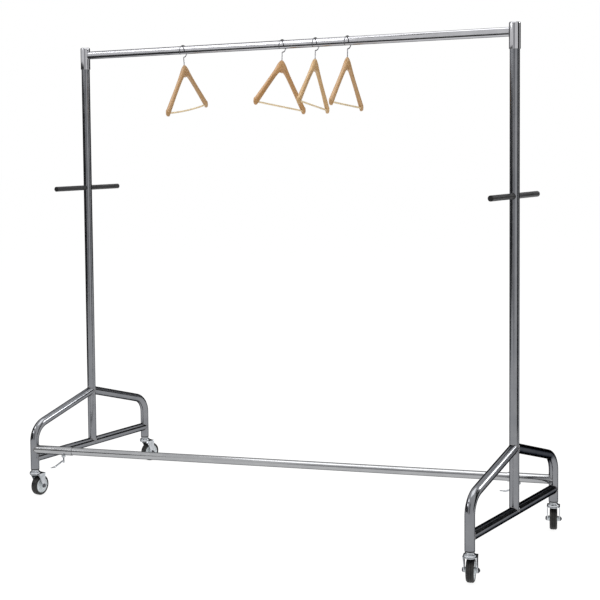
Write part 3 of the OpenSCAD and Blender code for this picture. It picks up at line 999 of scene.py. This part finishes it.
        screw = swept(f"{node}_rod", path, radius, 20, first=out.cross(UP), flat=flat)
        self.rack.hand_over(smooth(screw, math.radians(50)), ZINC, f"{side.word}_clamp", node)

    def build(self) -> None:
        """Builds the rail and all that is on it."""
        self.build_rail()
        for side in Side:
            self.build_sleeve(side)
            self.build_nut(side)
            self.build_screw(side)


# ---- Hanging rail ----


@dataclass
class TopRail:
    """The chrome hanging rail with the two collars that drop over the posts."""

    rack: Rack
    rail_wall: float = 1.5 * MM
    collar_wall: float = 2.0 * MM
    dome: float = 5 * MM
    lip: float = 1.4 * MM
    corner_steps: int = 12

    def __post_init__(self) -> None:
        """Reads the rail's section from the construction model."""
        self.low, self.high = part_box("hanging_rail")
        self.axis_z = (self.low.z + self.high.z) / 2
        self.half_width = (self.high.y - self.low.y) / 2
        self.half_flat = (self.high.z - self.low.z) / 2 - self.half_width

    def section(self, x: float, grow: float = 0.0) -> Ring:
        """The flat-sided section of the rail at a place along it."""
        points: Ring = []
        for up, start in ((1, 0.0), (-1, math.pi)):
            for k in range(self.corner_steps + 1):
                turn = start + math.pi * k / self.corner_steps
                points.append(Vector((x, (self.half_width + grow) * math.cos(turn),
                                      self.axis_z + up * self.half_flat
                                      + (self.half_width + grow) * math.sin(turn))))
        return points

    def build_rail(self) -> None:
        """The flat-sided rail."""
        rail = rolled("hanging_rail_tube", [self.section(x) for x in (self.low.x, self.high.x)],
                      capped=False)
        apply_modifier(rail, "SOLIDIFY", thickness=self.rail_wall, offset=-1.0)
        self.rack.hand_over(smooth(rail, math.radians(30)), CHROME, "top_rail", "hanging_rail")

    def build_collar(self, side: Side) -> None:
        """A collar with a domed top, a rolled mouth and a slot for the rail, and its lip."""
        low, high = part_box(f"{side.word}_collar")
        radius = (high.x - low.x) / 2
        centre = Vector(((low.x + high.x) / 2, 0, 0))
        bore = radius - self.collar_wall
        profile = rounded_profile([
            (0, high.z, 0), (radius, high.z, self.dome), (radius, low.z, 0.8 * MM),
            (bore, low.z, 0.8 * MM), (bore, high.z - self.dome, 2 * MM), (0, high.z - self.dome, 0)], 8)
        collar = spun(f"{side.word}_collar_cup", profile, 72)
        collar.data.transform(Matrix.Translation(centre))
        slot = rolled("cutter", [self.section(x, WELD_GAP) for x in (self.low.x, self.high.x)])
        cut(collar, slot)
        self.rack.hand_over(smooth(collar), CHROME, "top_rail", f"{side.word}_collar")
        self.build_lip(side, centre.x, radius)

    def build_lip(self, side: Side, collar_x: float, radius: float) -> None:
        """The small flare round the rail where it enters a collar."""
        outline = self.section(0.0, 0.2 * MM)
        line: Ring = []
        for point in outline:
            bulge = math.sqrt(max(radius**2 - point.y**2, 0))
            line.append(Vector((collar_x - side.value * (bulge + 0.3 * MM), point.y, point.z)))
        lip = bead(f"{side.word}_collar_lip", line, self.lip, ripple=0.0)
        self.rack.hand_over(lip, CHROME, "top_rail")

    def build(self) -> None:
        """Builds the rail and both collars."""
        self.build_rail()
        for side in Side:
            self.build_collar(side)


# ---- Casters ----


@dataclass
class CasterPattern:
    """One caster, modelled round its own swivel axis with the wheel trailing towards +Y."""

    trail: float
    wheel_radius: float
    crown_z: float
    tube_end_z: float
    flange_z: float
    wheel_width: float = 25 * MM
    fork_thickness: float = 2.5 * MM
    side_gap: float = 7 * MM
    axle_radius: float = 4 * MM
    head_radius: float = 20 * MM
    tube_radius: float = 16 * MM
    race_gap: float = 3 * MM
    tread: float = 9.5 * MM
    fork_middle: float = 12 * MM
    cheek_top: float = 20 * MM
    cheek_foot: float = 8 * MM
    cheek_bow: float = 1.2 * MM
    insert_bore: float = 5.55 * MM
    plug_step: float = 1.95 * MM
    plug_depth: float = 40 * MM
    stem_radius: float = 5.5 * MM
    stem_length: float = 38 * MM
    rivet_radius: float = 8 * MM
    rivet_drop: float = 2.8 * MM
    kingpin_radius: float = 5 * MM
    kingpin_hole: float = 5.1 * MM
    hex_radius: float = 7.5 * MM
    hex_height: float = 3.4 * MM

    def __post_init__(self) -> None:
        """Works out the fork's reach and lays the wheel's own frame."""
        self.fork_in = self.wheel_width / 2 + self.side_gap
        self.fork_out = self.fork_in + self.fork_thickness
        self.axle = Matrix.Translation((0, self.trail, self.wheel_radius)) @ Matrix.Rotation(
            math.pi / 2, 4, "Y")

    def insert(self) -> Piece:
        """The black ring and plug in the end of the leg."""
        top, low, r, bore = self.tube_end_z, self.flange_z, self.tube_radius, self.insert_bore
        plug, end = r - self.plug_step, top + self.plug_depth
        profile = rounded_profile([(bore, low, 0), (r, low, 0.5 * MM), (r, top, 0), (plug, top, 0),
                                   (plug, end, 1 * MM), (bore, end, 0)])
        return smooth(spun("insert", profile, 48))

    def head(self) -> Piece:
        """The swivel head: stem, stepped top washers, ball cup and its skirt, and the rivet."""
        crown, flange, r = self.crown_z, self.flange_z, self.head_radius
        race = crown + self.fork_thickness + self.race_gap
        rivet, pin, stem = self.rivet_radius, self.kingpin_radius, self.stem_radius
        profile = rounded_profile([
            (0, crown - self.rivet_drop, 0), (rivet, crown - self.rivet_drop, 1.2 * MM),
            (rivet, crown - 0.3 * MM, 0), (pin, crown - 0.3 * MM, 0), (pin, race, 0),
            (r - 2 * MM, race, 0), (r - 2 * MM, race - 1.5 * MM, 0), (r, race - 1.5 * MM, 0.3 * MM),
            (r, race + 4.2 * MM, 2 * MM), (15.5 * MM, race + 5.6 * MM, 0.6 * MM),
            (15.5 * MM, race + 8.2 * MM, 0.5 * MM), (12.6 * MM, race + 8.4 * MM, 0.3 * MM),
            (12.6 * MM, flange - 0.6 * MM, 0.4 * MM), (9 * MM, flange, 0), (stem, flange, 0),
            (stem, flange + self.stem_length, 0.8 * MM), (0, flange + self.stem_length, 0)], 4)
        return smooth(spun("head", profile, 56))

    def fork_leg(self, hand: int) -> Piece:
        """One side of the pressed fork: a tapered cheek with a rolled front edge and a boss."""
        t = self.fork_thickness
        bpy.ops.mesh.primitive_cube_add(size=1.0)
        cheek = bpy.context.active_object
        with editing(cheek):
            bpy.ops.mesh.subdivide(number_cuts=7)
        for point in cheek.data.vertices:
            share = 0.5 - point.co.z
            waist = self.cheek_foot + (self.cheek_top - self.cheek_foot) * (1 - share) ** 1.6
            middle = self.fork_middle + (self.trail - self.fork_middle) * share**0.8
            bow = self.cheek_bow * (2 * point.co.y) ** 2
            inner = self.fork_in + (point.co.x + 0.5) * t - bow * share * (1 - share) * 2
            height = self.crown_z + t - share * (self.crown_z + t - self.wheel_radius)
            point.co = (hand * inner, middle + point.co.y * 2 * waist, height)
        close_up(cheek)
        ends = [Vector((hand * x, self.trail, self.wheel_radius)) for x in (self.fork_in, self.fork_out)]
        return cut(cheek, rod("boss", *ends, self.cheek_foot + 0.3 * MM, 40), operation="UNION")

    def fork(self) -> Piece:
        """The pressed fork: crown, two cheeks, kingpin hole and axle hole."""
        crown = rounded_profile([
            (0, self.crown_z, 0), (self.head_radius, self.crown_z, 0),
            (self.head_radius, self.crown_z + self.fork_thickness, 0.8 * MM),
            (0, self.crown_z + self.fork_thickness, 0)])
        fork = spun("fork", crown, 56)
        low, high = self.crown_z, self.crown_z + self.fork_thickness
        bpy.ops.mesh.primitive_cube_add(size=1.0, location=(0, self.fork_middle, (low + high) / 2),
                                        scale=(2 * self.fork_out, 2 * self.cheek_top, high - low))
        cut(fork, settled("bridge"), self.fork_leg(-1), self.fork_leg(1), operation="UNION")
        axle = [Vector((x, self.trail, self.wheel_radius)) for x in (-2 * self.fork_out, 2 * self.fork_out)]
        pin = [Vector((0, 0, low - 1 * MM)), Vector((0, 0, high + 1 * MM))]
        cut(fork, rod("cutter", *pin, self.kingpin_hole, FINE_SIDES),
            rod("cutter", *axle, self.axle_radius + PLAY, FINE_SIDES))
        bevelled(fork, 0.5 * MM, 2, 50)
        return smooth(fork, math.radians(40))

    def bolt(self) -> Piece:
        """The axle bolt with its domed head, its nut and the thread that stands proud."""
        r = self.axle_radius
        out, far = self.fork_out, self.fork_out + 6 * MM
        seat = -out - self.hex_height
        rings = [(0, -out - 5 * MM, 0), (5.2 * MM, -out - 5 * MM, 0.8 * MM),
                 (5.2 * MM, -out - 3.6 * MM, 0), (6.6 * MM, seat, 0.5 * MM), (6.6 * MM, -out, 0),
                 (r, -out, 0), (r, far - 2.4 * MM, 0)]
        for k in range(3):
            height = far - (2.2 - 0.7 * k) * MM
            rings += [(r - 0.4 * MM, height, 0), (r, height + 0.3 * MM, 0)]
        rings += [(r - 0.6 * MM, far, 0), (0, far, 0)]
        bolt = spun("bolt", rounded_profile(rings, 3), 32)
        for start in (seat, out):
            middle = Vector((0, 0, start + self.hex_height / 2))
            nut = hexagon("hexagon", middle, self.hex_radius, self.hex_height)
            cut(bolt, bevelled(nut, 0.6 * MM), operation="UNION")
        bolt.data.transform(self.axle)
        return smooth(bolt, math.radians(25))

    def hub(self) -> Piece:
        """The moulded hub: rim, dished disc with a raised ring, and the boss round the axle."""
        face = self.wheel_width / 2
        rim = self.wheel_radius - self.tread
        boss = self.fork_in - 1 * MM
        half = [(self.axle_radius + PLAY, boss, 0), (8.5 * MM, boss, 1 * MM),
                (9.5 * MM, face - 2.4 * MM, 1.2 * MM), (14 * MM, face - 2.6 * MM, 0.6 * MM),
                (15 * MM, face - 1.9 * MM, 0.4 * MM), (17 * MM, face - 1.9 * MM, 0.4 * MM),
                (18 * MM, face - 2.8 * MM, 0.6 * MM), (rim - 4 * MM, face - 2.8 * MM, 0.8 * MM),
                (rim - 3 * MM, face - 1 * MM, 0.5 * MM), (rim, face - 1 * MM, 0.3 * MM)]
        other = [(x, -z, r) for x, z, r in reversed(half)]
        hub = spun("hub", rounded_profile(half + other, 4), 72)
        hub.data.transform(self.axle)
        return smooth(hub, math.radians(30))

    def tyre(self) -> Piece:
        """The tyre: rounded shoulders and a tread with two fine grooves."""
        half_width, r = self.wheel_width / 2, self.wheel_radius
        bore = r - self.tread + PLAY
        corners = [(bore, -half_width, 0.5 * MM), (r - 4.6 * MM, -half_width, 1.5 * MM),
                   (r - 0.5 * MM, -half_width + 3.4 * MM, 2.5 * MM)]
        for centre in (-3.2 * MM, 3.2 * MM):
            corners += [(r - 0.1 * MM, centre - 0.9 * MM, 0.2 * MM), (r - 1.1 * MM, centre - 0.4 * MM, 0),
                        (r - 1.1 * MM, centre + 0.4 * MM, 0), (r - 0.1 * MM, centre + 0.9 * MM, 0.2 * MM)]
            if centre < 0:
                corners.append((r, 0, 0))
        corners += [(r - 0.5 * MM, half_width - 3.4 * MM, 2.5 * MM), (r - 4.6 * MM, half_width, 1.5 * MM),
                    (bore, half_width, 0.5 * MM)]
        tyre = spun("tyre", rounded_profile(corners, 5), 96)
        tyre.data.transform(self.axle)
        return smooth(tyre, math.radians(40))


@dataclass
class Casters:
    """The four casters, each a copy of one pattern set at its own swivel angle."""

    rack: Rack

    def build(self) -> None:
        """Models the pattern once and sets it under each leg."""
        swivel = self.rack.spot("left_front_swivel_turn")
        wheel = self.rack.spot("left_front_wheel_spin")
        insert_low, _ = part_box("left_front_insert")
        pattern = CasterPattern(
            trail=(Vector(wheel.xy) - Vector(swivel.xy)).length, wheel_radius=wheel.z,
            crown_z=swivel.z, flange_z=insert_low.z, tube_end_z=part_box("left_front_leg")[0].z)
        models: dict[str, tuple[Piece, Finish, str]] = {
            "insert": (pattern.insert(), BLACK_PLASTIC, "frame"),
            "swivel_head": (pattern.head(), ZINC, "frame"),
            "fork": (pattern.fork(), ZINC, "{corner}_swivel"),
            "axle": (pattern.bolt(), DARK_BOLT, "{corner}_swivel"),
            "hub": (pattern.hub(), HUB_PLASTIC, "{corner}_wheel"),
            "tyre": (pattern.tyre(), RUBBER, "{corner}_wheel"),
        }
        for side in Side:
            for row in Row:
                corner = f"{side.word}_{row.word}"
                foot = self.rack.spot(f"{corner}_swivel_turn")
                axle = self.rack.axis(f"{corner}_wheel_spin")
                place = Matrix.Translation((foot.x, foot.y, 0)) @ Matrix.Rotation(
                    math.atan2(axle.y, axle.x), 4, "Z")
                for part, (model, finish, body) in models.items():
                    twin = copy_of(model, f"{corner}_{part}_piece", place)
                    self.rack.hand_over(twin, finish, body.format(corner=corner), f"{corner}_{part}")
        for model, _, _ in models.values():
            bpy.data.objects.remove(model)
        balls = frame["nodes"]["swivel_balls"]
        BALL_STEEL.dress(balls)
        LOG.info("swivel_balls keep their construction mesh")


# ---- Hangers ----


@dataclass
class Hanger:
    """One wooden coat hanger with its wire hook and trouser bar."""

    rack: Rack
    number: int
    turn: float
    width: float = 420 * MM
    drop: float = 172 * MM
    thickness: float = 14 * MM
    depths: tuple[float, float, float] = (46 * MM, 26 * MM, 28 * MM)
    shoulder: float = 32 * MM
    shoulder_share: float = 0.3
    tip_radius: float = 12 * MM
    hook_radius: float = 20 * MM
    wire_radius: float = 1.7 * MM
    stem_drop: float = 28 * MM
    stem_in_wood: float = 31.7 * MM
    hook_tail: float = 25
    bar_radius: float = 3 * MM
    bar_inset: float = 26 * MM
    bar_rise: float = 13 * MM
    bow: float = 0.0
    ring_points: int = 24
    arm_steps: int = 34
    tip_steps: int = 6
    tip_blunt: float = 0.0004
    pinch: float = 0.10
    side_power: float = 0.62
    edge_power: float = 0.8

    def __post_init__(self) -> None:
        """Reads where the hook hangs and how the hanger leans."""
        joint = f"hanger_{self.number}_swivel"
        place, axis = self.rack.spot(joint), self.rack.axis(joint)
        self.hook_frame = Matrix.Translation(place) @ Matrix.Rotation(-math.atan2(axis.y, axis.z), 4, "X")
        self.wood_frame = self.hook_frame @ Matrix.Rotation(math.radians(self.turn), 4, "Z")
        self.hook_middle = self.hook_radius + self.wire_radius
        self.neck_z = -self.hook_middle - self.stem_drop
        self.arm = self.width / 2 - self.tip_radius

    def middle(self, s: float) -> float:
        """Height of the arm's middle at a distance out from the neck."""
        fall = self.drop - self.depths[0] / 2 - self.tip_radius
        eased = (s / self.shoulder) ** 2 * self.shoulder / 2 if s < self.shoulder else s - self.shoulder / 2
        return self.neck_z - self.depths[0] / 2 - fall * eased / (self.arm - self.shoulder / 2)

    def half_depth(self, s: float) -> float:
        """Half the arm's depth at a distance out from the neck."""
        share, (neck, slim, tip) = s / self.arm, self.depths
        if share < self.shoulder_share:
            return (neck + (slim - neck) * math.sin(math.pi / 2 * share / self.shoulder_share)) / 2
        return (slim + (tip - slim) * (share - self.shoulder_share) / (1 - self.shoulder_share)) / 2

    def wood_ring(self, s: float) -> Ring:
        """A rounded section of the wood, starting at its underside."""
        out = abs(s)
        inside = min(out, self.arm)
        past = (out - inside) / self.tip_radius
        shrink = math.sqrt(max(1 - past * past, self.tip_blunt))
        height = self.half_depth(inside) * shrink
        swell = 1 - self.pinch + self.pinch * math.cos(math.tau * inside / self.arm)
        width = self.thickness / 2 * swell * shrink**0.7
        ring: Ring = []
        for k in range(self.ring_points):
            turn = math.tau * k / self.ring_points - math.pi / 2
            c, d = math.cos(turn), math.sin(turn)
            ring.append(Vector((math.copysign(abs(c) ** self.side_power, c) * width, s,
                                self.middle(inside) + math.copysign(abs(d) ** self.edge_power, d) * height)))
        return ring

    def build_wood(self, finish: WoodFinish) -> None:
        """The contoured arms, drilled for the hook's stem."""
        tips = [self.arm + self.tip_radius * math.sin(math.pi / 2 * k / self.tip_steps)
                for k in range(1, self.tip_steps + 1)]
        arms = [self.arm * k / self.arm_steps for k in range(self.arm_steps + 1)]
        places = [-s for s in reversed(arms[1:] + tips)] + arms + tips
        wood = rolled(f"hanger_{self.number}_wood_arms", [self.wood_ring(s) for s in places])
        cut(wood, rod("cutter", Vector((0, 0, self.neck_z - self.stem_in_wood)),
                      Vector((0, 0, self.neck_z + 10 * MM)), self.wire_radius + PLAY, 16))
        wood.data.transform(self.wood_frame)
        self.rack.hand_over(smooth(wood, math.radians(50)), finish, f"hanger_{self.number}_arms",
                            f"hanger_{self.number}_wood")

    def build_hook(self) -> None:
        """The bent wire: stem, loop round the rail and a rounded end."""
        foot = Vector((0, 0, self.neck_z - self.stem_in_wood + 0.3 * MM))
        start = Vector((0, 0, -self.hook_middle))
        loop = arc(Vector(), start, ALONG, math.radians(270 + self.hook_tail), 60)
        way = (loop[-1] - loop[-2]).normalized()
        end = [loop[-1] + way * (self.wire_radius * math.sin(a)) for a in (0.5, 1.0, 1.4)]
        path = [foot, *loop, *end]
        count = len(path)
        rounding = {count - 3: 0.88, count - 2: 0.54, count - 1: 0.17}
        hook = swept(f"hanger_{self.number}_hook_wire", path,
                     lambda k: self.wire_radius * rounding.get(k, 1.0), 16, first=ALONG)
        hook.data.transform(self.hook_frame)
        self.rack.hand_over(smooth(hook, math.radians(60)), HOOK_WIRE, f"hanger_{self.number}_hook_body",
                            f"hanger_{self.number}_hook")

    def build_bar(self) -> None:
        """The thin trouser bar between the arms."""
        reach = self.width / 2 - self.bar_inset
        height = self.middle(reach) - self.bar_rise
        steps = 16
        ends = reach + 2 * self.bar_radius
        path = []
        for k in range(steps + 1):
            share = 2 * k / steps - 1
            path.append(Vector((0, share * ends, height - self.bow * (1 - share * share))))
        bar = swept(f"hanger_{self.number}_bar_dowel", path, self.bar_radius, 20, first=ALONG)
        bevelled(bar, 0.6 * MM, 2, 60)
        bar.data.transform(self.wood_frame)
        self.rack.hand_over(smooth(bar, math.radians(50)), DOWEL_WOOD, f"hanger_{self.number}_arms",
                            f"hanger_{self.number}_trouser_bar")

    def build(self, finish: WoodFinish) -> None:
        """Builds the hanger in one shade of wood."""
        self.build_wood(finish)
        self.build_hook()
        self.build_bar()


# ---- Stage ----


@dataclass(frozen=True)
class Card:
    """A tall card: degrees from the front towards +X, distance, width, shade, and its edges."""

    bearing: float
    distance: float
    width: float
    shade: float
    low: float
    high: float


@dataclass(frozen=True)
class Studio:
    """A white studio: camera, floor, world, lamps and the dark cards that metal reflects."""

    azimuth: float = 34.0
    pitch: float = 3.5
    roll: float = -0.5
    distance: float = 4.612
    lateral: float = 0.078
    height: float = 1.349
    lens: float = 78.26
    shift: float = -0.14

    def set_camera(self) -> None:
        """Sets the camera in front of the rack's right end."""
        a, p, r = (math.radians(x) for x in (self.azimuth, self.pitch, self.roll))
        right = Vector((math.cos(a), math.sin(a), 0))
        level = Vector((-math.sin(a), math.cos(a), 0))
        ahead = level * math.cos(p) - UP * math.sin(p)
        above = level * math.sin(p) + UP * math.cos(p)
        across = right * math.cos(r) + above * math.sin(r)
        above = above * math.cos(r) - right * math.sin(r)
        place = right * self.lateral - level * self.distance + UP * self.height
        data = bpy.data.cameras.new("studio_camera")
        data.lens, data.shift_y, data.sensor_width = self.lens, self.shift, 36.0
        camera = bpy.data.objects.new("studio_camera", data)
        turned = Matrix((across, above, -ahead)).transposed().to_4x4()
        camera.matrix_world = Matrix.Translation(place) @ turned
        bpy.context.scene.collection.objects.link(camera)
        bpy.context.scene.camera = camera

    def white_to_view(self, bench: NodeBench) -> Socket:
        """One for the rays that the camera, gloss and clear materials send, and zero otherwise."""
        path = bench.add("ShaderNodeLightPath")
        seen = bench.maths("MAXIMUM", path.outputs["Is Camera Ray"], path.outputs["Is Glossy Ray"])
        return bench.maths("MAXIMUM", seen, path.outputs["Is Transmission Ray"])

    def set_world(self, ambient: float = 0.62) -> None:
        """A world that looks white and lights the rack softly."""
        world = bpy.data.worlds.new("studio_world")
        world.use_nodes = True
        bpy.context.scene.world = world
        bench = NodeBench(world.node_tree)
        shade = bench.add("ShaderNodeBackground")
        shade.inputs["Color"].default_value = (1, 1, 1, 1)
        bench.link(bench.spread(self.white_to_view(bench), 0, 1, ambient, 1.0), shade.inputs["Strength"])
        bench.link(shade.outputs["Background"], bench.add("ShaderNodeOutputWorld").inputs["Surface"])

    def set_floor(self, shadow: float = 0.16) -> None:
        """A pale floor that fades to white and keeps a soft shadow."""
        bpy.ops.mesh.primitive_plane_add(size=60, location=(0, 0, -0.0005))
        floor = settled("studio_floor")
        made, bench = start_material("Studio_Floor")
        matt = bench.add("ShaderNodeBsdfDiffuse")
        matt.inputs["Color"].default_value = (0.93, 0.93, 0.93, 1)
        glow = bench.add("ShaderNodeEmission", Strength=1.08)
        blend = bench.add("ShaderNodeMixShader")
        bench.link(bench.spread(self.white_to_view(bench), 0, 1, 0.0, 1 - shadow), blend.inputs["Fac"])
        bench.link(matt.outputs["BSDF"], blend.inputs[1])
        bench.link(glow.outputs["Emission"], blend.inputs[2])
        bench.surface(blend.outputs["Shader"])
        floor.data.materials.append(made)

    def hang_card(self, name: str, card: Card) -> None:
        """Hangs a card that only reflections see, facing the rack's middle."""
        turn = math.radians(card.bearing)
        place = Vector((math.sin(turn), -math.cos(turn), 0)) * card.distance
        place.z = (card.low + card.high) / 2
        bpy.ops.mesh.primitive_plane_add(size=1, location=place, rotation=(math.pi / 2, 0, turn))
        panel = bpy.context.active_object
        panel.name = name
        panel.scale = (card.width, card.high - card.low, 1)
        bpy.ops.object.transform_apply(location=True, rotation=True, scale=True)
        made, bench = start_material(name)
        glow = bench.add("ShaderNodeEmission", Strength=1.0)
        glow.inputs["Color"].default_value = (card.shade, card.shade, card.shade * 1.03, 1)
        bench.surface(glow.outputs["Emission"])
        panel.data.materials.append(made)
        for ray in ("camera", "diffuse", "transmission", "volume_scatter", "shadow"):
            setattr(panel, f"visible_{ray}", False)

    def hang_cards(self) -> None:
        """The dark and grey cards round the rack."""
        cards = (Card(147, 4.2, 2.4, 0.02, 0.3, 3.0), Card(100, 2.5, 1.1, 0.02, -0.1, 3.0),
                 Card(-72, 2.7, 2.6, 0.05, -0.1, 1.72), Card(-29, 4.2, 3.2, 0.05, 0.2, 1.72),
                 Card(-38, 4.2, 2.4, 0.04, 2.5, 3.6), Card(20, 4.6, 2.6, 0.45, -0.1, 3.4),
                 Card(-150, 4.2, 2.2, 0.03, -0.1, 3.4), Card(178, 4.4, 1.6, 0.05, -0.1, 3.4))
        for number, card in enumerate(cards, 1):
            self.hang_card(f"studio_card_{number}", card)

    def set_lamps(self) -> None:
        """A large soft key at the front left, a rim lamp at the rear right and a top lamp."""
        lamps = (("key", (-3.2, -3.6, 3.4), 2.2, 92.0), ("rim", (3.4, 2.2, 2.8), 1.2, 48.0),
                 ("top", (0.2, -0.4, 4.2), 3.0, 60.0))
        for name, place, size, power in lamps:
            data = bpy.data.lights.new(f"{name}_lamp", "AREA")
            data.shape, data.size, data.energy = "SQUARE", size, power
            lamp = bpy.data.objects.new(f"{name}_lamp", data)
            lamp.location = place
            aim = Vector((0, 0, 0.9)) - Vector(place)
            lamp.rotation_euler = aim.to_track_quat("-Z", "Y").to_euler()
            bpy.context.scene.collection.objects.link(lamp)

    def build(self) -> None:
        """Sets up the whole studio."""
        self.set_camera()
        self.set_world()
        self.set_floor()
        self.hang_cards()
        self.set_lamps()
        bpy.context.scene.view_settings.view_transform = "Standard"


def main() -> None:
    """Builds the studio and every sub-assembly of the rack."""
    logging.basicConfig(level=logging.INFO, format="%(message)s")
    Studio().build()
    rack = Rack()
    for side in Side:
        EndFrame(rack, side).build()
    LowerRail(rack).build()
    TopRail(rack).build()
    Casters(rack).build()
    turns = (18, 10, 19, 17)
    for number, (turn, finish) in enumerate(zip(turns, HANGER_WOODS), 1):
        Hanger(rack, number, turn, bow=5 * MM if number == 1 else 0.0).build(finish)


if __name__ == "__main__":
    main()
